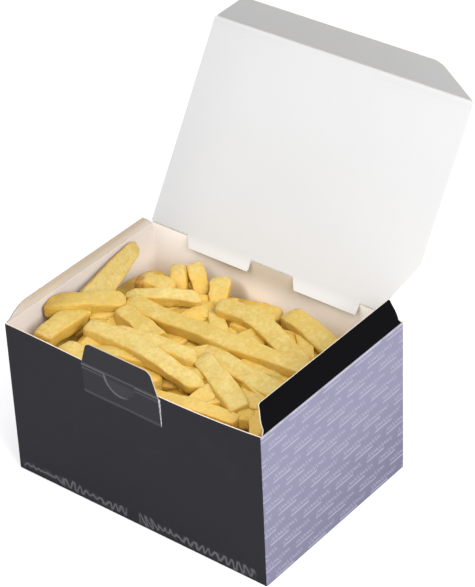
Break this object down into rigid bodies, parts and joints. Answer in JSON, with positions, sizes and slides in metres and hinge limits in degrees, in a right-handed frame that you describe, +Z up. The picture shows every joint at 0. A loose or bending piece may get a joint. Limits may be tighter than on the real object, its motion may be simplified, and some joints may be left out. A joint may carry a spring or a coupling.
{
  "type": "french fries in a carton",
  "caption": "Folded paperboard takeaway carton with an open hinged lid, filled with a heap of french fries.",
  "frame": {"origin": "centre of the carton's base, on the surface it stands on", "axes": "+Z up, -Y towards the front wall with the lock tab, +X to the right"},
  "size_m": [0.165, 0.1828, 0.2076],
  "materials": {
    "carton": "black and lilac printed coated paperboard, satin outside, uncoated white inside",
    "lid_inside": "uncoated white inside of the paperboard, black print on the outside",
    "fries": "fried potato: golden, slightly glossy, browner along edges and ends"
  },
  "bodies": {
    "box": {"carton": "carton", "fries_heap": "fries"},
    "lid": {"lid": "lid_inside"},
    "tuck_flap": {"tuck_flap": "lid_inside"},
    "dust_flap_left": {"dust_flap_left": "carton"},
    "dust_flap_right": {"dust_flap_right": "carton"},
    "lock_tab": {"lock_tab": "carton"}
  },
  "joints": [
    {"name": "lid_hinge", "type": "hinge", "parent": "box", "child": "lid", "pos_m": [0, 0.05845, 0.09365], "axis": [1, 0, 0], "range_deg": [-57.5, 122.5]},
    {"name": "tuck_hinge", "type": "hinge", "parent": "lid", "child": "tuck_flap", "pos_m": [0, 0.12051, 0.19106], "axis": [1, 0, 0], "range_deg": [-31.3, 66.6]},
    {"name": "dust_left_hinge", "type": "hinge", "parent": "box", "child": "dust_flap_left", "pos_m": [-0.0822, 0, 0.09275], "axis": [0, 1, 0], "range_deg": [-28.2, 60.1]},
    {"name": "dust_right_hinge", "type": "hinge", "parent": "box", "child": "dust_flap_right", "pos_m": [0.0822, 0, 0.09275], "axis": [0, -1, 0], "range_deg": [-43.3, 92.1]},
    {"name": "lock_tab_hinge", "type": "hinge", "parent": "box", "child": "lock_tab", "pos_m": [-0.00362, -0.06106, 0.09137], "axis": [0.9998, -0.0175, 0], "range_deg": [-5, 25]}
  ],
  "couplings": [
    {"joint": "tuck_hinge", "follows": "lid_hinge", "ratio": 0.54286},
    {"joint": "dust_left_hinge", "follows": "lid_hinge", "ratio": 0.4898},
    {"joint": "dust_right_hinge", "follows": "lid_hinge", "ratio": 0.75102}
  ]
}
